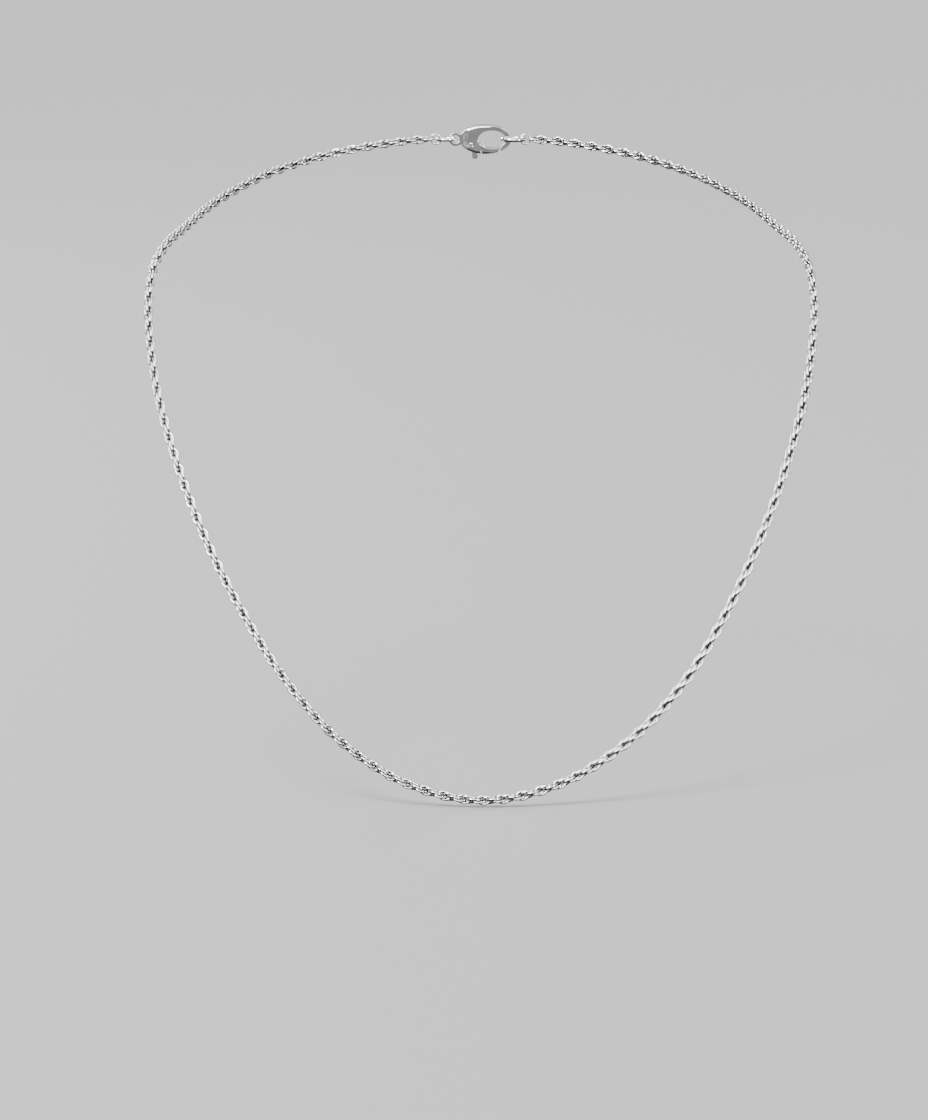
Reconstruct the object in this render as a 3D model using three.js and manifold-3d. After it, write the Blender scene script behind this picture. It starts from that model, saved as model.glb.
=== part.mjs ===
// A fine twisted silver chain necklace, closed by a lobster claw clasp, in the shape it takes round a neck.
// Millimetres, +Z up. The origin is on the nape, where the clasp's flat back meets the neck.
// The front of the necklace is towards -Y, and the wearer's left hand is towards +X.
import * as THREE from 'three';
import { mergeVertices } from 'three/addons/utils/BufferGeometryUtils.js';
import Module from 'manifold-3d';

// Chain
const CHAIN_WIDTH = 1.8; // over the widest part of the twist
const FLEX_GAP = 1.0; // between two stretches that bend against each other
const END_GAP = 0.3; // between a chain end and the ring that takes it
const STEP = 6.0; // the chain tube has a section this often along the route

// The last link of each chain end
const LINK_WIRE = 0.3;
const LINK_OUTER = 2.2;

// Rings that join the chain ends to the clasp
const JUMP_WIRE = 0.7;
const JUMP_OUTER = 4.0;
const CATCH_WIRE = 0.8;
const CATCH_OUTER = 5.0;
const WIRE_GAP = 0.2; // at the middle of wires that pull on each other

// Clasp casting, flat in the XZ plane, with its hook towards +X and its gate below
const CLASP_LENGTH = 12.0;
const CLASP_HEIGHT = 5.6;
const CLASP_THICK = 2.4;
const HOOK_THICK = 1.4; // the hook's bow thins towards its end
const EYE_THICK = 1.0;
const EYE_RADIUS = 1.3;
const EYE_BORE = 0.8;
const RIM = 1.05; // width of the hook's bow
const MOUTH_LENGTH = 5.4; // inside of the hook, along X
const EDGE_ROUND = 0.4; // rounding of the casting's edges
const CHEEK = 0.45; // wall on each side of the trigger's slot

// Trigger, its pin and its spring
const TRIGGER_GAP = 0.25; // on each side of the trigger, and round its boss
const GATE_GAP = 0.3; // between the gate's end and the hook's tip
const PIN_RADIUS = 0.4;
const PIN_CLEARANCE = 0.05;
const BOSS_RADIUS = 0.9;
const TAB_WIDTH = 1.1;
const TAB_STANDS = 1.0; // how far the thumb tab stands out of the casting
const SPRING_WIRE = 0.16;
const SPRING_OUTER = 0.9;
const SPRING_TURNS = 4;
const SPRING_GAP = 0.08; // at each end of the spring

// Centreline of the necklace from the nape, round the wearer's right, over the chest and back
const NAPE_DEPTH = CLASP_THICK / 2; // the chain line runs through the middle of the clasp
const ROUTE = [
  [-15.0, 0.3, -0.3], [-28.5, -5.2, -2.2], [-40.0, -14.6, -5.0], [-49.2, -28.0, -8.8],
  [-54.8, -42.6, -12.4], [-57.6, -51.8, -14.4], [-59.6, -60.2, -18.0], [-60.1, -67.6, -24.4],
  [-58.0, -79.5, -37.1], [-53.8, -89.5, -49.5], [-48.4, -98.2, -61.5], [-41.8, -106.0, -72.8],
  [-34.2, -113.2, -83.3], [-24.9, -119.6, -92.5], [-13.3, -124.1, -99.3], [0.0, -126.0, -102.0],
  [13.4, -124.3, -99.5], [25.3, -119.9, -93.0], [34.9, -113.8, -84.1], [42.4, -106.5, -73.5],
  [48.7, -98.5, -61.9], [53.9, -89.7, -49.9], [58.0, -79.7, -37.4], [60.2, -67.9, -24.7],
  [59.8, -60.0, -18.0], [58.0, -52.0, -14.4], [55.2, -42.8, -12.4], [49.5, -28.0, -8.8],
  [40.2, -14.6, -5.0], [28.6, -5.2, -2.2], [15.0, 0.3, -0.3],
];

// Where the chain bends, as distances along it from the lowest point, the same on both sides
const BENDS = [138, 119, 101, 84, 68, 52, 36, 20];

const wasm = await Module();
wasm.setup();

const silver = (name, geometry, colour = 0xd9d8d4, roughness = 0.22) => {
  const material = new THREE.MeshStandardMaterial({ color: colour, roughness, metalness: 1 });
  const mesh = new THREE.Mesh(geometry, material);
  mesh.name = name;
  return mesh;
};

// A closed geometry as a solid that can be joined and cut, and back again
function solid(geometry) {
  const bare = geometry.clone();
  bare.deleteAttribute('normal');
  bare.deleteAttribute('uv');
  const merged = mergeVertices(bare, 1e-5);
  return new wasm.Manifold(new wasm.Mesh({
    numProp: 3,
    vertProperties: new Float32Array(merged.attributes.position.array),
    triVerts: new Uint32Array(merged.index.array),
  }));
}

function geometryOf(manifold) {
  const mesh = manifold.getMesh();
  const geometry = new THREE.BufferGeometry();
  geometry.setAttribute('position', new THREE.BufferAttribute(mesh.vertProperties, 3));
  geometry.setIndex(new THREE.BufferAttribute(mesh.triVerts, 1));
  geometry.computeVertexNormals();
  return geometry;
}

// ---------------------------------------------------------------- chain

function circle(radius, sides) {
  const shape = new THREE.Shape();
  for (let i = 0; i < sides; i++) {
    const a = (2 * Math.PI * (i + 0.5)) / sides;
    shape[i ? 'lineTo' : 'moveTo'](radius * Math.cos(a), radius * Math.sin(a));
  }
  return shape;
}

// The part of a curve between two shares of its length
class Stretch extends THREE.Curve {
  constructor(curve, from, to) {
    super();
    Object.assign(this, { curve, from, to });
  }

  getPoint(t, target = new THREE.Vector3()) {
    return this.curve.getPointAt(this.from + (this.to - this.from) * t, target);
  }
}

const claspHalf = CLASP_LENGTH / 2;
const eyeX = -claspHalf + EYE_RADIUS;
const jumpX = eyeX - EYE_BORE + JUMP_WIRE + WIRE_GAP - JUMP_OUTER / 2;
const mouthEndX = claspHalf - RIM;
const catchX = mouthEndX - WIRE_GAP - CATCH_WIRE + CATCH_OUTER / 2;
const leftLinkX = jumpX - JUMP_OUTER / 2 + JUMP_WIRE + WIRE_GAP + LINK_WIRE - LINK_OUTER / 2;
const rightLinkX = catchX + CATCH_OUTER / 2 - CATCH_WIRE - WIRE_GAP - LINK_WIRE + LINK_OUTER / 2;
const leftEndX = leftLinkX - LINK_OUTER / 2 - END_GAP;
const rightEndX = rightLinkX + LINK_OUTER / 2 + END_GAP;

const route = new THREE.CatmullRomCurve3([
  new THREE.Vector3(leftEndX, NAPE_DEPTH, 0),
  ...ROUTE.map((p) => new THREE.Vector3(...p)),
  new THREE.Vector3(rightEndX, NAPE_DEPTH, 0),
], false, 'centripetal');
route.arcLengthDivisions = 4000;
const chainLength = route.getLength();

// The lowest point's place along the route
let lowest = 0;
for (let i = 0, z = Infinity; i <= 4000; i++) {
  const here = route.getPointAt(i / 4000).z;
  if (here < z) {
    z = here;
    lowest = (chainLength * i) / 4000;
  }
}

function chainTube(name, from, to) {
  const path = new Stretch(route, from / chainLength, to / chainLength);
  const steps = Math.max(2, Math.round((to - from) / STEP));
  const section = circle(CHAIN_WIDTH / 2, 8);
  return silver(name, new THREE.ExtrudeGeometry(section, { steps, bevelEnabled: false, extrudePath: path }));
}

function chain() {
  const group = new THREE.Group();
  const half = FLEX_GAP / 2;
  const cuts = [...BENDS, null];
  let outer = { left: 0, right: chainLength };
  cuts.forEach((bend, i) => {
    const place = i ? `drape_${i}` : 'nape';
    if (bend === null) {
      group.add(chainTube('chain_front', outer.left, outer.right));
      return;
    }
    group.add(chainTube(`chain_${place}_left`, outer.left, lowest - bend - half));
    group.add(chainTube(`chain_${place}_right`, lowest + bend + half, outer.right));
    outer = { left: lowest - bend + half, right: lowest + bend - half };
  });
  return group;
}

// A ring of round wire, lying in the XY plane unless it is stood up into the XZ plane
function ring(name, outer, wire, x, standing) {
  const geometry = new THREE.TorusGeometry((outer - wire) / 2, wire / 2, 12, 40);
  if (standing) geometry.rotateX(Math.PI / 2);
  const mesh = silver(name, geometry);
  mesh.position.set(x, NAPE_DEPTH, 0);
  return mesh;
}

// ---------------------------------------------------------------- clasp

// A flat shape drawn in X and Z becomes a plate from y = low to y = high, with rounded edges on request
function plate(shape, low, high, round = 0, curveSegments = 24) {
  const geometry = new THREE.ExtrudeGeometry(shape, {
    depth: high - low - 2 * round,
    bevelEnabled: round > 0,
    bevelThickness: round,
    bevelSize: round,
    bevelOffset: -round,
    bevelSegments: 4,
    curveSegments,
  });
  geometry.translate(0, 0, round);
  geometry.rotateX(Math.PI / 2);
  geometry.translate(0, high, 0);
  return geometry;
}

const bodyCentreX = 1.0;
const bodyHalfLength = claspHalf - bodyCentreX;
const bodyHalfHeight = CLASP_HEIGHT / 2;
const mouthCentreX = mouthEndX - MOUTH_LENGTH / 2;
const mouthHalfHeight = bodyHalfHeight - RIM;

const pivot = { x: -1.75, z: -0.95 };
const gateFrom = mouthEndX - MOUTH_LENGTH + 0.8; // where the gate's bow starts beside the casting
const tipInner = mouthEndX - 0.85; // the slanted meeting of gate and hook, inside and outside
const tipOuter = mouthEndX - 1.55;

const slotLow = CHEEK;
const slotHigh = CLASP_THICK - CHEEK;
const cavityFloor = bodyHalfHeight - RIM; // the spring stands against this wall, above the trigger
const springX = pivot.x + 0.75;
const armTop = pivot.z + BOSS_RADIUS; // a flat shoulder level with the boss, which the spring stands on

function ellipse(x, z, a, b) {
  const shape = new THREE.Shape();
  shape.absellipse(x, z, a, b, 0, 2 * Math.PI);
  return shape;
}

function polygon(...points) {
  return new THREE.Shape(points.map(([x, z]) => new THREE.Vector2(x, z)));
}

// Through the whole thickness, and a little past both faces
const through = (shape) => solid(plate(shape, -1, CLASP_THICK + 1));

// The clasp seen from above: a thin eye, a full body, and a bow that thins towards the hook's end
function sideProfile() {
  const half = CLASP_THICK / 2;
  const outline = [
    [-claspHalf - 1, EYE_THICK / 2], [eyeX + EYE_RADIUS, EYE_THICK / 2],
    [eyeX + EYE_RADIUS + 1.1, half + 0.01], [1.6, half + 0.01],
    [mouthEndX - 0.6, HOOK_THICK / 2], [claspHalf + 1, HOOK_THICK / 2],
  ];
  const back = outline.map(([x, y]) => [x, -y]).reverse();
  const seenFromAbove = polygon(...outline, ...back);
  const geometry = new THREE.ExtrudeGeometry(seenFromAbove, { depth: 20, bevelEnabled: false });
  geometry.translate(0, half, -10);
  return solid(geometry);
}

function casting() {
  const tail = new THREE.Shape();
  tail.moveTo(eyeX, EYE_RADIUS * 0.85);
  tail.quadraticCurveTo(eyeX + 1.2, 0.75, eyeX + 2.6, 1.6);
  tail.lineTo(eyeX + 2.6, -1.6);
  tail.quadraticCurveTo(eyeX + 1.2, -0.75, eyeX, -EYE_RADIUS * 0.85);
  const outline = [
    ellipse(bodyCentreX, 0, bodyHalfLength, bodyHalfHeight),
    ellipse(eyeX, 0, EYE_RADIUS, EYE_RADIUS),
  ].map((s) => solid(plate(s, 0, CLASP_THICK, EDGE_ROUND)));
  const neck = solid(plate(tail, EDGE_ROUND, CLASP_THICK - EDGE_ROUND));
  const eye = through(ellipse(eyeX, 0, EYE_BORE, EYE_BORE));
  const mouth = through(ellipse(mouthCentreX, 0, MOUTH_LENGTH / 2, mouthHalfHeight));
  const mouthGate = through(polygon(
    [gateFrom - TRIGGER_GAP, -0.6], [tipInner, -0.6], [tipInner, -mouthHalfHeight + 0.3],
    [tipOuter, -bodyHalfHeight - 0.4], [gateFrom - TRIGGER_GAP, -bodyHalfHeight - 0.4],
  ));
  const slot = solid(plate(polygon(
    [pivot.x - BOSS_RADIUS - TRIGGER_GAP, -bodyHalfHeight - 1],
    [pivot.x - BOSS_RADIUS - TRIGGER_GAP, pivot.z + BOSS_RADIUS],
    [springX - SPRING_OUTER / 2 - 0.15, cavityFloor],
    [springX + SPRING_OUTER / 2 + 0.15, cavityFloor],
    [springX + SPRING_OUTER / 2 + 0.35, 0.2],
    [gateFrom + 1, -0.2], [gateFrom + 1, -bodyHalfHeight - 1],
  ), slotLow, slotHigh));
  const pinHole = through(ellipse(pivot.x, pivot.z, PIN_RADIUS + PIN_CLEARANCE, PIN_RADIUS + PIN_CLEARANCE));
  const body = outline.reduce((a, b) => a.add(b), neck).intersect(sideProfile());
  const cuts = [eye, mouth, mouthGate, slot, pinHole];
  return geometryOf(cuts.reduce((a, b) => a.subtract(b), body));
}

function trigger() {
  const low = slotLow + TRIGGER_GAP;
  const high = slotHigh - TRIGGER_GAP;
  const boss = solid(plate(ellipse(pivot.x, pivot.z, BOSS_RADIUS, BOSS_RADIUS), low, high));
  // the gate is the missing piece of the hook's bow, joined to the boss by a narrower arm
  const wholeBody = ellipse(bodyCentreX, 0, bodyHalfLength, bodyHalfHeight);
  const bow = solid(plate(wholeBody, 0, CLASP_THICK, EDGE_ROUND))
    .subtract(through(ellipse(mouthCentreX, 0, MOUTH_LENGTH / 2, mouthHalfHeight)));
  const window = through(polygon(
    [gateFrom, -0.6], [tipInner - GATE_GAP, -0.6], [tipInner - GATE_GAP, -mouthHalfHeight + 0.3],
    [tipOuter - GATE_GAP, -bodyHalfHeight - 0.4], [gateFrom, -bodyHalfHeight - 0.4],
  ));
  const arm = solid(plate(polygon(
    [pivot.x, armTop], [springX + SPRING_OUTER / 2 + 0.05, armTop], [gateFrom + 0.5, pivot.z - 0.2],
    [gateFrom + 0.9, -bodyHalfHeight + 0.45], [pivot.x + 0.3, pivot.z - BOSS_RADIUS + 0.05],
    [pivot.x, pivot.z - 0.3],
  ), low, high));
  const tabX = pivot.x + 0.75;
  const tabEnd = -bodyHalfHeight - TAB_STANDS;
  const tab = new THREE.Shape();
  tab.moveTo(tabX - TAB_WIDTH / 2, pivot.z);
  tab.lineTo(tabX - TAB_WIDTH / 2, tabEnd + TAB_WIDTH / 2);
  tab.absarc(tabX, tabEnd + TAB_WIDTH / 2, TAB_WIDTH / 2, Math.PI, 2 * Math.PI);
  tab.lineTo(tabX + TAB_WIDTH / 2, pivot.z);
  const thumb = solid(plate(tab, low, high));
  const bore = through(ellipse(pivot.x, pivot.z, PIN_RADIUS + PIN_CLEARANCE, PIN_RADIUS + PIN_CLEARANCE));
  const lever = bow.intersect(window).intersect(sideProfile()).add(arm).add(boss).add(thumb);
  return geometryOf(lever.subtract(bore));
}

function pin() {
  const geometry = new THREE.CylinderGeometry(PIN_RADIUS, PIN_RADIUS, CLASP_THICK - 0.1, 24);
  geometry.translate(pivot.x, CLASP_THICK / 2, pivot.z);
  return geometry;
}

// A small coil that stands between the casting and the trigger, and pushes the gate shut
function spring() {
  const low = armTop + SPRING_GAP + SPRING_WIRE / 2;
  const high = cavityFloor - SPRING_GAP - SPRING_WIRE / 2;
  const radius = (SPRING_OUTER - SPRING_WIRE) / 2;
  class Coil extends THREE.Curve {
    getPoint(t, target = new THREE.Vector3()) {
      const a = 2 * Math.PI * SPRING_TURNS * t;
      return target.set(
        springX + radius * Math.cos(a),
        CLASP_THICK / 2 + radius * Math.sin(a),
        low + (high - low) * t,
      );
    }
  }
  return new THREE.ExtrudeGeometry(circle(SPRING_WIRE / 2, 6), {
    steps: 14 * SPRING_TURNS,
    bevelEnabled: false,
    extrudePath: new Coil(),
  });
}

// ---------------------------------------------------------------- the necklace

const necklace = new THREE.Group();
necklace.add(chain());
necklace.add(ring('end_link_left', LINK_OUTER, LINK_WIRE, leftLinkX, true));
necklace.add(ring('end_link_right', LINK_OUTER, LINK_WIRE, rightLinkX, true));
necklace.add(ring('jump_ring', JUMP_OUTER, JUMP_WIRE, jumpX, false));
necklace.add(ring('catch_ring', CATCH_OUTER, CATCH_WIRE, catchX, false));
necklace.add(silver('clasp_body', casting()));
necklace.add(silver('clasp_trigger', trigger()));
necklace.add(silver('clasp_pivot_pin', pin(), 0xc4c3bf));
necklace.add(silver('clasp_spring', spring(), 0x9a9a98, 0.35));

export default necklace;
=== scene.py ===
import math

import bpy
import numpy as np
from mathutils import Matrix, Vector


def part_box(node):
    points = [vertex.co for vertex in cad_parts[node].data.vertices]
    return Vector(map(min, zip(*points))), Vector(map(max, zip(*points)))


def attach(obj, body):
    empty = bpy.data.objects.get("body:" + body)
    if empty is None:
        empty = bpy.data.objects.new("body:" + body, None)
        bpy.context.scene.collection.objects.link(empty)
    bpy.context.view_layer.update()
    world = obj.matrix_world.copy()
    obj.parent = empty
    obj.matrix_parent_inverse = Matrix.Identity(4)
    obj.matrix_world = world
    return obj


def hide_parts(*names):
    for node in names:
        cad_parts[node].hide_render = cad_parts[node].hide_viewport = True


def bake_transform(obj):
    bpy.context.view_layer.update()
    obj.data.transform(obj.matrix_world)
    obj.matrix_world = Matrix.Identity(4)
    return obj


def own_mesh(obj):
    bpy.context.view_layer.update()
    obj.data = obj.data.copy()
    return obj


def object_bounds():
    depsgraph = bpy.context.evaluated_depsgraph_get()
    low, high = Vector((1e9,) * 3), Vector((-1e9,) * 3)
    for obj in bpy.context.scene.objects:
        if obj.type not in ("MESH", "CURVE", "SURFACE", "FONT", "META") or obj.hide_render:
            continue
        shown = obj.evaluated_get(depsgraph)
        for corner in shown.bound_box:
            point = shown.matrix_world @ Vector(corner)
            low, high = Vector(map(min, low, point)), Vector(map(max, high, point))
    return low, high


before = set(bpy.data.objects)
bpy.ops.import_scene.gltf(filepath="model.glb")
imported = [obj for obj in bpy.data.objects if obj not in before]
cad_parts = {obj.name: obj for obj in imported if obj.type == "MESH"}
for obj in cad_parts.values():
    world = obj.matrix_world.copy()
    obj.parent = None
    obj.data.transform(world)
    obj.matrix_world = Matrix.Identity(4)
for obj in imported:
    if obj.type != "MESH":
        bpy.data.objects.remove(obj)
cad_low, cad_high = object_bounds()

MM = 0.001

# ------------------------------------------------------------------ the chain's route, as in the CAD source
NAPE_DEPTH = 1.2
LEFT_END_X = -9.9
RIGHT_END_X = 10.15
ROUTE = [
    (LEFT_END_X, NAPE_DEPTH, 0.0),
    (-15.0, 0.3, -0.3), (-28.5, -5.2, -2.2), (-40.0, -14.6, -5.0), (-49.2, -28.0, -8.8),
    (-54.8, -42.6, -12.4), (-57.6, -51.8, -14.4), (-59.6, -60.2, -18.0), (-60.1, -67.6, -24.4),
    (-58.0, -79.5, -37.1), (-53.8, -89.5, -49.5), (-48.4, -98.2, -61.5), (-41.8, -106.0, -72.8),
    (-34.2, -113.2, -83.3), (-24.9, -119.6, -92.5), (-13.3, -124.1, -99.3), (0.0, -126.0, -102.0),
    (13.4, -124.3, -99.5), (25.3, -119.9, -93.0), (34.9, -113.8, -84.1), (42.4, -106.5, -73.5),
    (48.7, -98.5, -61.9), (53.9, -89.7, -49.9), (58.0, -79.7, -37.4), (60.2, -67.9, -24.7),
    (59.8, -60.0, -18.0), (58.0, -52.0, -14.4), (55.2, -42.8, -12.4), (49.5, -28.0, -8.8),
    (40.2, -14.6, -5.0), (28.6, -5.2, -2.2), (15.0, 0.3, -0.3),
    (RIGHT_END_X, NAPE_DEPTH, 0.0),
]
BENDS = [138, 119, 101, 84, 68, 52, 36, 20]  # arc distances from the lowest point, both sides

# ------------------------------------------------------------------ the links
LINKS_PER_HALF_TURN = 4.0
HALF_TURN = 3.38  # length of chain that makes half a turn of the twist
LINK_LONG = 1.06  # half length of a link's centreline, along the chain
LINK_WIDE = 0.70  # half width of a link's centreline, across the chain
LINK_PITCHED = 0.01  # how far the link leans along the chain, radians
LINK_TURNED = 0.33  # how far the link lies out of the flat, radians
WIRE_RADIUS = 0.205
WIRE_AROUND = 10
LINK_AROUND = 36


POINTS_PER_SPAN = 240


def catmull_rom(points):
    """Dense points of a centripetal Catmull-Rom curve, with its ends mirrored, as the CAD source draws it."""
    p = np.array(points, float)
    first = 2 * p[0] - p[1]
    last = 2 * p[-1] - p[-2]
    p = np.vstack([first, p, last])
    out = []
    for i in range(1, len(p) - 2):
        a, b, c, d = p[i - 1], p[i], p[i + 1], p[i + 2]
        t0 = max(np.linalg.norm(b - a) ** 0.5, 1e-4)
        t1 = max(np.linalg.norm(c - b) ** 0.5, 1e-4)
        t2 = max(np.linalg.norm(d - c) ** 0.5, 1e-4)
        m1 = ((b - a) / t0 - (c - a) / (t0 + t1) + (c - b) / t1) * t1
        m2 = ((c - b) / t1 - (d - b) / (t1 + t2) + (d - c) / t2) * t1
        t = np.linspace(0, 1, POINTS_PER_SPAN, endpoint=False)[:, None]
        squared = (-3 * b + 3 * c - 2 * m1 - m2) * t**2
        cubed = (2 * b - 2 * c + m1 + m2) * t**3
        out.append(b + m1 * t + squared + cubed)
    out.append(p[-2:-1])
    return np.vstack(out)


line = catmull_rom(ROUTE)
steps = np.linalg.norm(np.diff(line, axis=0), axis=1)
arc = np.concatenate([[0], np.cumsum(steps)])
TOTAL = arc[-1]
LOWEST = arc[np.argmin(line[:, 2])]


def at(s):
    """The point of the chain's middle line at arc length s."""
    return np.stack([np.interp(s, arc, line[:, k]) for k in range(3)], -1)


def unit(v):
    return v / np.linalg.norm(v, axis=-1, keepdims=True)


# A frame that doesn't twist by itself is carried along the route
FRAME_STEP = 0.5
TANGENT_REACH = 0.4
frame_s = np.arange(0, TOTAL + FRAME_STEP, FRAME_STEP)
ahead = at(np.clip(frame_s + TANGENT_REACH, 0, TOTAL))
behind = at(np.clip(frame_s - TANGENT_REACH, 0, TOTAL))
frame_t = unit(ahead - behind)
frame_n = np.zeros_like(frame_t)
carried = np.array([0.0, 0.0, 1.0])
for i, tangent in enumerate(frame_t):
    carried = carried - tangent * (carried @ tangent)
    carried /= np.linalg.norm(carried)
    frame_n[i] = carried


def local(s):
    """The chain's own axes at arc length s: along it, and two across."""
    t = unit(np.array([np.interp(s, frame_s, frame_t[:, k]) for k in range(3)]))
    n = np.array([np.interp(s, frame_s, frame_n[:, k]) for k in range(3)])
    n = unit(n - t * (n @ t))
    return t, n, np.cross(t, n)


END_LINK_INSET = 0.2  # the first and last links' centres lie this far inside the chain's ends
count = round((TOTAL - 2 * END_LINK_INSET) / (HALF_TURN / LINKS_PER_HALF_TURN)) + 1
link_step = (TOTAL - 2 * END_LINK_INSET) / (count - 1)
link_turn = math.pi / LINKS_PER_HALF_TURN


def phase_lying_flat(s):
    """The phase that lays a link level at s, so that it goes through the upright end link there."""
    t, n, b = local(s)
    across = np.cross([0.0, 0.0, 1.0], t)
    return math.atan2(-(across @ n), across @ b)


first_phase = phase_lying_flat(END_LINK_INSET) + LINK_TURNED
last_phase = phase_lying_flat(TOTAL - END_LINK_INSET) + LINK_TURNED
wanted = last_phase - first_phase
free = link_turn * (count - 1)
link_turn += (wanted + math.pi * round((free - wanted) / math.pi) - free) / (count - 1)


def link(i):
    """One closed wire link: its points, and how deep in the chain each of them lies (0 to 1)."""
    s = END_LINK_INSET + i * link_step
    t, n, b = local(s)
    phase = first_phase + i * link_turn
    r = math.cos(phase) * n + math.sin(phase) * b
    side = -math.sin(phase) * n + math.cos(phase) * b
    p = math.cos(LINK_PITCHED) * t + math.sin(LINK_PITCHED) * r
    upright = math.cos(LINK_PITCHED) * r - math.sin(LINK_PITCHED) * t
    q = math.cos(LINK_TURNED) * side + math.sin(LINK_TURNED) * upright
    flat = np.cross(p, q)
    a = np.linspace(0, 2 * np.pi, LINK_AROUND, endpoint=False)[:, None]
    offset = LINK_LONG * np.cos(a) * p + LINK_WIDE * np.sin(a) * q
    centre = at(s) + offset
    along = unit(-LINK_LONG * np.sin(a) * p + LINK_WIDE * np.cos(a) * q)
    out = np.cross(along, flat)
    v = np.linspace(0, 2 * np.pi, WIRE_AROUND, endpoint=False)
    points = centre[:, None] + WIRE_RADIUS * (
        np.cos(v)[None, :, None] * out[:, None] + np.sin(v)[None, :, None] * flat
    )
    points = points.reshape(-1, 3)
    from_middle = points - at(s)
    reach = np.linalg.norm(from_middle - (from_middle @ t)[:, None] * t, axis=1)
    depth = 1 - np.clip(reach / (LINK_WIDE + WIRE_RADIUS), 0, 1)
    return points, depth


def link_quads():
    """The quads of one link, as indices into its points."""
    i, j = np.meshgrid(np.arange(LINK_AROUND), np.arange(WIRE_AROUND), indexing="ij")
    i2, j2 = (i + 1) % LINK_AROUND, (j + 1) % WIRE_AROUND
    corners = [i * WIRE_AROUND + j, i * WIRE_AROUND + j2, i2 * WIRE_AROUND + j2, i2 * WIRE_AROUND + j]
    return np.stack(corners, -1).reshape(-1, 4)


LINK_QUADS = link_quads()


def mesh_object(name, points, faces):
    """A smooth-shaded object of points in millimetres."""
    mesh = bpy.data.meshes.new(name)
    mesh.from_pydata((np.asarray(points) * MM).tolist(), [], [list(map(int, f)) for f in faces])
    mesh.shade_smooth()
    mesh.update()
    made = bpy.data.objects.new(name, mesh)
    bpy.context.scene.collection.objects.link(made)
    return made


def chain_piece(name, low, high, material):
    """The links whose centres lie between two arc lengths, as one piece."""
    points, quads, depths = [], [], []
    for i in range(count):
        s = END_LINK_INSET + i * link_step
        if low <= s < high:
            p, d = link(i)
            quads.append(LINK_QUADS + LINK_AROUND * WIRE_AROUND * len(points))
            points.append(p)
            depths.append(d)
    made = mesh_object(name, np.vstack(points), np.vstack(quads))
    # each point's depth in the chain, which the material turns into painted shade between the links
    painted_shade_attribute = made.data.attributes.new("depth", "FLOAT", "POINT")
    painted_shade_attribute.data.foreach_set("value", np.concatenate(depths).astype(np.float32))
    made.data.materials.append(material)
    return made


# ------------------------------------------------------------------ materials
TONE_DARKER = 0.93  # the darkest tone, as a share of the colour
NOISE_LOW, NOISE_HIGH = 0.3, 0.7  # where most of a noise texture's values lie
PAINTED_SHADE_START, PAINTED_SHADE_FULL = 0.2, 0.75  # depths between which the painted shade of the recesses sets in
GLOSS_LOW, GLOSS_HIGH = 0.7, 1.5  # the range of roughness, as shares of its mean
BUMP_STRENGTH = 0.25
BUMP_HEIGHT = 0.01 * MM


def silver(name, colour, painted_shade_colour, roughness, grain, scratch=0.0):
    """Polished silver: small changes of tone and gloss, fine polishing marks, and painted shade in the
    recesses.
    """
    m = bpy.data.materials.new(name)
    m.use_nodes = True
    nodes, links = m.node_tree.nodes, m.node_tree.links
    bsdf = nodes["Principled BSDF"]
    bsdf.inputs["Metallic"].default_value = 1.0
    place = nodes.new("ShaderNodeTexCoord")

    def noise(scale, detail=3.0):
        texture = nodes.new("ShaderNodeTexNoise")
        texture.inputs["Scale"].default_value = scale
        texture.inputs["Detail"].default_value = detail
        links.new(place.outputs["Object"], texture.inputs["Vector"])
        return texture.outputs["Fac"]

    tone = nodes.new("ShaderNodeValToRGB")
    tone.color_ramp.elements[0].position = NOISE_LOW
    tone.color_ramp.elements[0].color = (*[c * TONE_DARKER for c in colour], 1)
    tone.color_ramp.elements[1].position = NOISE_HIGH
    tone.color_ramp.elements[1].color = (*colour, 1)
    links.new(noise(grain), tone.inputs["Fac"])

    # painted shade: the colour darkens towards the recess colour where a point lies deep in the chain, in
    # place of the shade between the links
    painted_shade_depth = nodes.new("ShaderNodeAttribute")
    painted_shade_depth.attribute_name = "depth"
    soft = nodes.new("ShaderNodeMapRange")
    soft.interpolation_type = "SMOOTHSTEP"
    soft.inputs["From Min"].default_value = PAINTED_SHADE_START
    soft.inputs["From Max"].default_value = PAINTED_SHADE_FULL
    links.new(painted_shade_depth.outputs["Fac"], soft.inputs["Value"])
    mix = nodes.new("ShaderNodeMix")
    mix.data_type = "RGBA"
    mix.inputs["B"].default_value = (*painted_shade_colour, 1)
    links.new(soft.outputs["Result"], mix.inputs["Factor"])
    links.new(tone.outputs["Color"], mix.inputs["A"])
    links.new(mix.outputs["Result"], bsdf.inputs["Base Color"])

    gloss = nodes.new("ShaderNodeMapRange")
    gloss.inputs["From Min"].default_value = NOISE_LOW
    gloss.inputs["From Max"].default_value = NOISE_HIGH
    gloss.inputs["To Min"].default_value = roughness * GLOSS_LOW
    gloss.inputs["To Max"].default_value = roughness * GLOSS_HIGH
    links.new(noise(grain * 2.3, 5.0), gloss.inputs["Value"])
    links.new(gloss.outputs["Result"], bsdf.inputs["Roughness"])

    bump = nodes.new("ShaderNodeBump")
    bump.inputs["Strength"].default_value = BUMP_STRENGTH
    bump.inputs["Distance"].default_value = BUMP_HEIGHT
    if scratch:
        marks = nodes.new("ShaderNodeTexWave")
        marks.inputs["Scale"].default_value = scratch
        marks.inputs["Distortion"].default_value = 6.0
        marks.inputs["Detail"].default_value = 4.0
        marks.inputs["Detail Scale"].default_value = 2.0
        links.new(place.outputs["Object"], marks.inputs["Vector"])
        links.new(marks.outputs["Fac"], bump.inputs["Height"])
    else:
        links.new(noise(grain * 6), bump.inputs["Height"])
    links.new(bump.outputs["Normal"], bsdf.inputs["Normal"])
    return m
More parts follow.
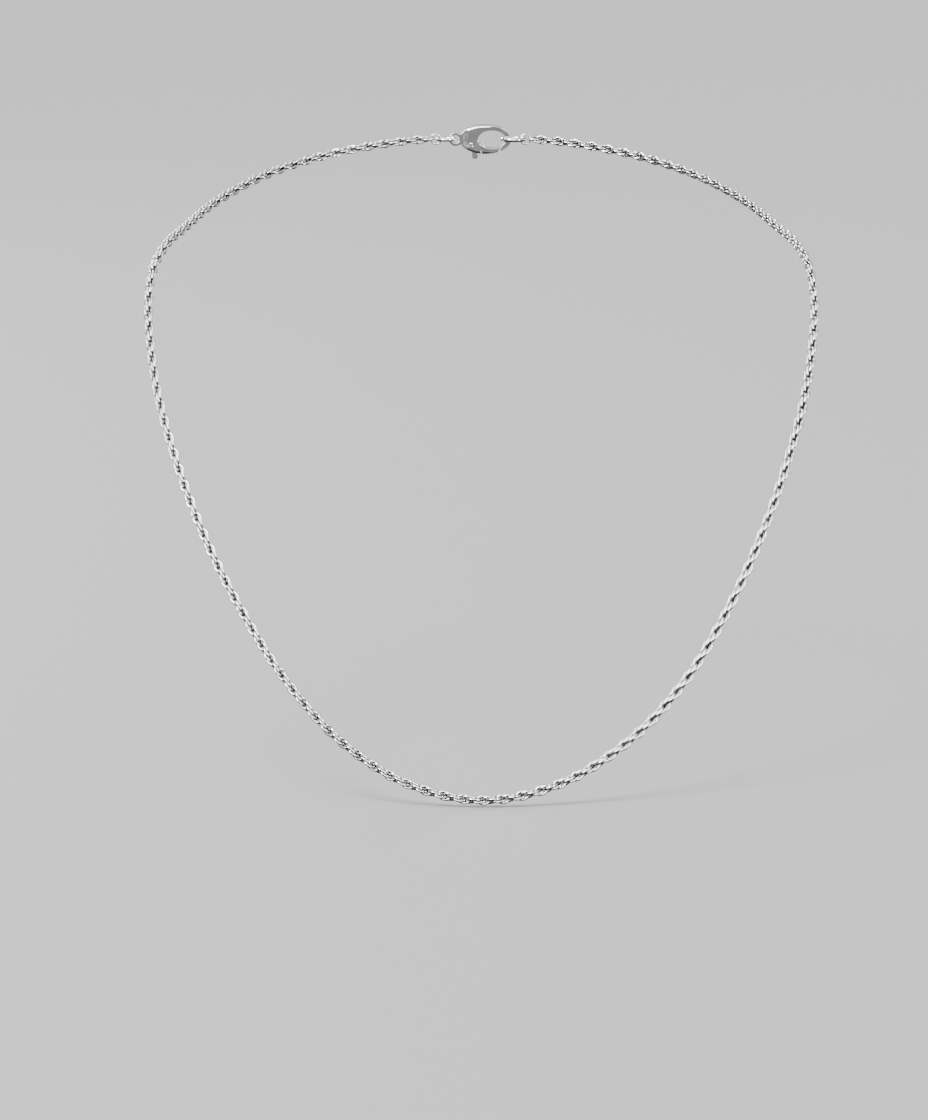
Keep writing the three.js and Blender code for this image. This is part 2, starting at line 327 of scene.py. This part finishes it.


# name, colour, painted shade colour for the recesses, roughness, grain of the tone, and scale of the
# polishing marks
chain_silver = silver("chain_silver", (0.90, 0.89, 0.87), (0.07, 0.068, 0.066), 0.12, 900)
ring_silver = silver("ring_silver", (0.91, 0.90, 0.88), (0.5, 0.49, 0.48), 0.12, 500, 700)
clasp_silver = silver("clasp_silver", (0.90, 0.89, 0.87), (0.5, 0.49, 0.48), 0.15, 350, 500)
pin_silver = silver("pin_silver", (0.80, 0.79, 0.77), (0.4, 0.39, 0.38), 0.22, 900, 1500)
spring_steel = silver("spring_steel", (0.60, 0.60, 0.61), (0.3, 0.3, 0.3), 0.28, 1500)

# ------------------------------------------------------------------ chain pieces
LEVELS = ["nape"] + [f"drape_{i}" for i in range(1, len(BENDS))] + ["front"]
PAST_THE_END = LOWEST + 1e3
edges = [PAST_THE_END] + [(a + b) / 2 for a, b in zip(BENDS, BENDS[1:])] + [0]
for j, bend in enumerate(BENDS):
    outer, inner = edges[j], edges[j + 1]
    for side, sign in (("left", -1), ("right", 1)):
        piece_start, piece_end = sorted((LOWEST + sign * outer, LOWEST + sign * inner))
        name = f"links_{LEVELS[j]}_to_{LEVELS[j + 1]}_{side}"
        piece = chain_piece(name, piece_start, piece_end, chain_silver)
        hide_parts(f"chain_{LEVELS[j]}_{side}")
        if LEVELS[j + 1] == "front":
            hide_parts("chain_front")
        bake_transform(piece)

# ------------------------------------------------------------------ rings
RING_AROUND = 96
RING_SECTION = 20
BUTT_JOINT = 0.035  # width of the slit where the wire's ends meet


def ring_piece(node, body, outer, wire, standing, slit, material):
    """A finer ring of round wire in a CAD ring's place, with a butt joint where slit (degrees) is given."""
    low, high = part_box(node)
    centre = np.array((low + high) / 2) / MM
    radius = (outer - wire) / 2
    flat = np.array([0.0, 1.0, 0.0]) if standing else np.array([0.0, 0.0, 1.0])
    x = np.array([1.0, 0.0, 0.0])
    y = np.cross(flat, x)
    around, section = RING_AROUND, RING_SECTION
    gap = BUTT_JOINT / radius if slit is not None else 0.0
    begin = math.radians(slit or 0.0) + gap / 2
    a = begin + np.linspace(0, 2 * np.pi - gap, around, endpoint=slit is not None)
    v = np.linspace(0, 2 * np.pi, section, endpoint=False)
    points, quads = [], []
    for angle in a:
        out = math.cos(angle) * x + math.sin(angle) * y
        section_points = wire / 2 * (np.cos(v)[:, None] * out + np.sin(v)[:, None] * flat)
        points.append(centre + radius * out + section_points)
    points = np.vstack(points)
    runs = around if slit is None else around - 1
    for i in range(runs):
        for j in range(section):
            i2, j2 = (i + 1) % around, (j + 1) % section
            quads.append((i * section + j, i2 * section + j, i2 * section + j2, i * section + j2))
    if slit is not None:
        quads.append(tuple(range(section)))
        quads.append(tuple((around - 1) * section + j for j in reversed(range(section))))
    made = mesh_object(node + "_wire", points, quads)
    made.data.materials.append(material)
    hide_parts(node)
    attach(made, body)


JUMP_RING_OUTER, JUMP_RING_WIRE = 4.0, 0.7
JUMP_RING_SLIT = 60.0  # where its wire's ends meet, degrees
CATCH_RING_OUTER, CATCH_RING_WIRE = 5.0, 0.8
END_LINK_OUTER, END_LINK_WIRE = 2.2, 0.3
END_LINK_SLIT = 90.0

ring_piece(
    "jump_ring", "jump_ring", JUMP_RING_OUTER, JUMP_RING_WIRE, False, JUMP_RING_SLIT, ring_silver
)
# the catch ring is soldered shut, so it has no slit
ring_piece(
    "catch_ring", "catch_ring", CATCH_RING_OUTER, CATCH_RING_WIRE, False, None, ring_silver
)
for end_link in ("end_link_left", "end_link_right"):
    ring_piece(
        end_link, "nape", END_LINK_OUTER, END_LINK_WIRE, True, END_LINK_SLIT, chain_silver
    )

# ------------------------------------------------------------------ clasp
WELD_DISTANCE = 0.002
SMOOTH_FACTOR = 0.5
BODY_VOXEL, BODY_ROUNDS = 0.05, 5
TRIGGER_VOXEL, TRIGGER_ROUNDS = 0.04, 4


def polished(node, body, voxel, rounds):
    """The CAD solid with its edges worn soft, as a cast and tumbled piece has them."""
    work = bpy.data.objects.new("work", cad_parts[node].data.copy())
    bpy.context.scene.collection.objects.link(work)
    work.data.transform(Matrix.Scale(1 / MM, 4))
    weld = work.modifiers.new("weld", "WELD")
    weld.merge_threshold = WELD_DISTANCE
    remesh = work.modifiers.new("remesh", "REMESH")
    remesh.mode = "VOXEL"
    remesh.voxel_size = voxel
    soft = work.modifiers.new("soft", "SMOOTH")
    soft.factor = SMOOTH_FACTOR
    soft.iterations = rounds
    bpy.context.view_layer.update()
    evaluated = work.evaluated_get(bpy.context.evaluated_depsgraph_get())
    mesh = bpy.data.meshes.new_from_object(evaluated)
    bpy.data.objects.remove(work)
    mesh.transform(Matrix.Scale(MM, 4))
    mesh.shade_smooth()
    mesh.materials.clear()
    mesh.materials.append(clasp_silver)
    made = bpy.data.objects.new(node + "_polished", mesh)
    bpy.context.scene.collection.objects.link(made)
    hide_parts(node)
    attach(made, body)


polished("clasp_body", "clasp", BODY_VOXEL, BODY_ROUNDS)
polished("clasp_trigger", "trigger", TRIGGER_VOXEL, TRIGGER_ROUNDS)


def grid(rows):
    """Quads between rings of points, with a face on each end."""
    size = len(rows[0])
    quads = []
    for i in range(len(rows) - 1):
        for j in range(size):
            j2 = (j + 1) % size
            quads.append((i * size + j, i * size + j2, (i + 1) * size + j2, (i + 1) * size + j))
    quads.append(tuple(reversed(range(size))))
    quads.append(tuple((len(rows) - 1) * size + j for j in range(size)))
    return np.vstack(rows), quads


# shares of the pin's radius, and depths below its end in millimetres
RIVET_DOME = [(0.3, 0.0), (0.62, 0.015), (0.85, 0.045), (0.96, 0.085), (1.0, 0.14)]
RIVET_AROUND = 48


def rivet():
    """The pivot pin, hammered into a low dome at both ends."""
    low, high = (np.array(c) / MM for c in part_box("clasp_pivot_pin"))
    centre = (low + high) / 2
    radius = (high[0] - low[0]) / 2
    half = (high[1] - low[1]) / 2
    ends = [(r * radius, -half + d) for r, d in RIVET_DOME]
    ends += [(r * radius, half - d) for r, d in reversed(RIVET_DOME)]
    v = np.linspace(0, 2 * np.pi, RIVET_AROUND, endpoint=False)
    rows = [centre + np.stack([r * np.cos(v), np.full_like(v, y), r * np.sin(v)], -1) for r, y in ends]
    points, quads = grid(rows)
    made = mesh_object("clasp_rivet", points, quads)
    made.data.materials.append(pin_silver)
    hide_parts("clasp_pivot_pin")
    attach(made, "clasp")


rivet()

SPRING_TURNS = 4
SPRING_WIRE = 0.16
SPRING_STEPS = 44  # points on each turn
SPRING_SECTION = 10
END_TURNS_FLATTER = 0.1  # the end turns lie nearly flat, so most of the rise is in the middle ones


def coil_spring():
    """The return spring between the casting and the trigger's shoulder."""
    low, high = (np.array(c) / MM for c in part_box("clasp_spring"))
    centre = (low + high) / 2
    radius = (high[0] - low[0] - SPRING_WIRE) / 2
    bottom, top = low[2] + SPRING_WIRE / 2, high[2] - SPRING_WIRE / 2
    t = np.linspace(0, 1, SPRING_STEPS * SPRING_TURNS)
    a = 2 * np.pi * SPRING_TURNS * t
    rise = t - END_TURNS_FLATTER * np.sin(2 * np.pi * t)
    x = centre[0] + radius * np.cos(a)
    y = centre[1] + radius * np.sin(a)
    path = np.stack([x, y, bottom + (top - bottom) * rise], -1)
    along = unit(np.gradient(path, axis=0))
    out = np.stack([np.cos(a), np.sin(a), 0 * a], -1)
    up = unit(np.cross(along, out))
    v = np.linspace(0, 2 * np.pi, SPRING_SECTION, endpoint=False)
    rows = [
        path[i] + SPRING_WIRE / 2 * (np.cos(v)[:, None] * out[i] + np.sin(v)[:, None] * up[i])
        for i in range(len(t))
    ]
    points, quads = grid(rows)
    made = mesh_object("clasp_coil", points, quads)
    made.data.materials.append(spring_steel)
    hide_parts("clasp_spring")
    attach(made, "clasp")
    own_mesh(made)


coil_spring()

# ------------------------------------------------------------------ floor, light and camera
def plain(name, colour, roughness):
    """A plain matt surface with faint cloudiness."""
    m = bpy.data.materials.new(name)
    m.use_nodes = True
    nodes, links = m.node_tree.nodes, m.node_tree.links
    bsdf = nodes["Principled BSDF"]
    bsdf.inputs["Roughness"].default_value = roughness
    clouds = nodes.new("ShaderNodeTexNoise")
    clouds.inputs["Scale"].default_value = 6.0
    ramp = nodes.new("ShaderNodeValToRGB")
    ramp.color_ramp.elements[0].color = (*[c * 0.97 for c in colour], 1)
    ramp.color_ramp.elements[1].color = (*colour, 1)
    links.new(clouds.outputs["Fac"], ramp.inputs["Fac"])
    links.new(ramp.outputs["Color"], bsdf.inputs["Base Color"])
    return m


FLOOR_GAP = 0.5 * MM
FLOOR_HALF = 8.0
FLOOR_Z = cad_low.z - FLOOR_GAP
floor_corners = [
    (sx * FLOOR_HALF, sy * FLOOR_HALF, FLOOR_Z) for sx, sy in ((-1, -1), (1, -1), (1, 1), (-1, 1))
]
floor = bpy.data.meshes.new("floor")
floor.from_pydata(floor_corners, [], [(0, 1, 2, 3)])
floor_object = bpy.data.objects.new("floor", floor)
bpy.context.scene.collection.objects.link(floor_object)
floor.materials.append(plain("floor_pale", (0.68, 0.68, 0.69), 0.8))
floor_object.visible_glossy = False  # so that the metal mirrors the dark lower part of the world instead

world = bpy.data.worlds.new("studio")
bpy.context.scene.world = world
world.use_nodes = True
wn, wl = world.node_tree.nodes, world.node_tree.links
where = wn.new("ShaderNodeTexCoord")
split = wn.new("ShaderNodeSeparateXYZ")
sky = wn.new("ShaderNodeValToRGB")
wl.new(where.outputs["Generated"], split.inputs["Vector"])
height = wn.new("ShaderNodeMapRange")  # 0 straight down, 0.5 at the horizon, 1 straight up
height.inputs["From Min"].default_value = -1.0
wl.new(split.outputs["Z"], height.inputs["Value"])
wl.new(height.outputs["Result"], sky.inputs["Fac"])
sky.color_ramp.elements[0].position = 0.0
sky.color_ramp.elements[0].color = (0.04, 0.04, 0.043, 1)
sky.color_ramp.elements[1].position = 1.0
sky.color_ramp.elements[1].color = (1.0, 1.01, 1.03, 1)
for position, brightness in ((0.40, 0.07), (0.45, 0.30), (0.54, 0.30), (0.62, 0.62)):
    element = sky.color_ramp.elements.new(position)
    element.color = (brightness, brightness, brightness * 1.02, 1)
wl.new(sky.outputs["Color"], wn["Background"].inputs["Color"])
wn["Background"].inputs["Strength"].default_value = 1.0


def area(name, place, target, size, power):
    """A rectangular lamp that only shines in the metal, so that the floor stays even."""
    light = bpy.data.lights.new(name, "AREA")
    light.energy = power
    light.shape = "RECTANGLE"
    light.size, light.size_y = size
    made = bpy.data.objects.new(name, light)
    bpy.context.scene.collection.objects.link(made)
    made.visible_diffuse = False
    made.location = place
    made.rotation_euler = (Vector(target) - Vector(place)).to_track_quat("-Z", "Y").to_euler()


MIDDLE = Vector((0, -0.063, -0.05))
area("key", (-0.75, -0.75, 0.75), MIDDLE, (0.45, 0.6), 30)
area("fill", (0.9, -0.75, 0.35), MIDDLE, (0.3, 0.9), 16)
area("front", (0.0, -1.3, 0.5), MIDDLE, (1.1, 0.35), 14)
area("back", (-0.5, 0.9, 0.45), MIDDLE, (0.5, 0.4), 16)

SUN_DIRECTION = Vector((0.45, 0.35, -1))
sun = bpy.data.lights.new("sun", "SUN")
sun.energy = 1.9
sun.angle = math.radians(25)
sun_object = bpy.data.objects.new("sun", sun)
bpy.context.scene.collection.objects.link(sun_object)
sun_object.rotation_euler = SUN_DIRECTION.to_track_quat("-Z", "Y").to_euler()

ELEVATION = math.radians(10)
DISTANCE = 0.879
AIM_ABOVE_LOWEST = 41.3 * MM
VIEW = Vector((0, math.cos(ELEVATION), -math.sin(ELEVATION)))
UP = Vector((0, math.sin(ELEVATION), math.cos(ELEVATION)))
aim = Vector((-3.1, -126.0, -102.0)) * MM + UP * AIM_ABOVE_LOWEST
camera = bpy.data.cameras.new("camera")
camera.lens = 164.3
camera.sensor_width = 36
camera.clip_start, camera.clip_end = 0.05, 30
shot = bpy.data.objects.new("camera", camera)
bpy.context.scene.collection.objects.link(shot)
shot.location = aim - VIEW * DISTANCE
shot.rotation_euler = VIEW.to_track_quat("-Z", "Y").to_euler()
bpy.context.scene.camera = shot
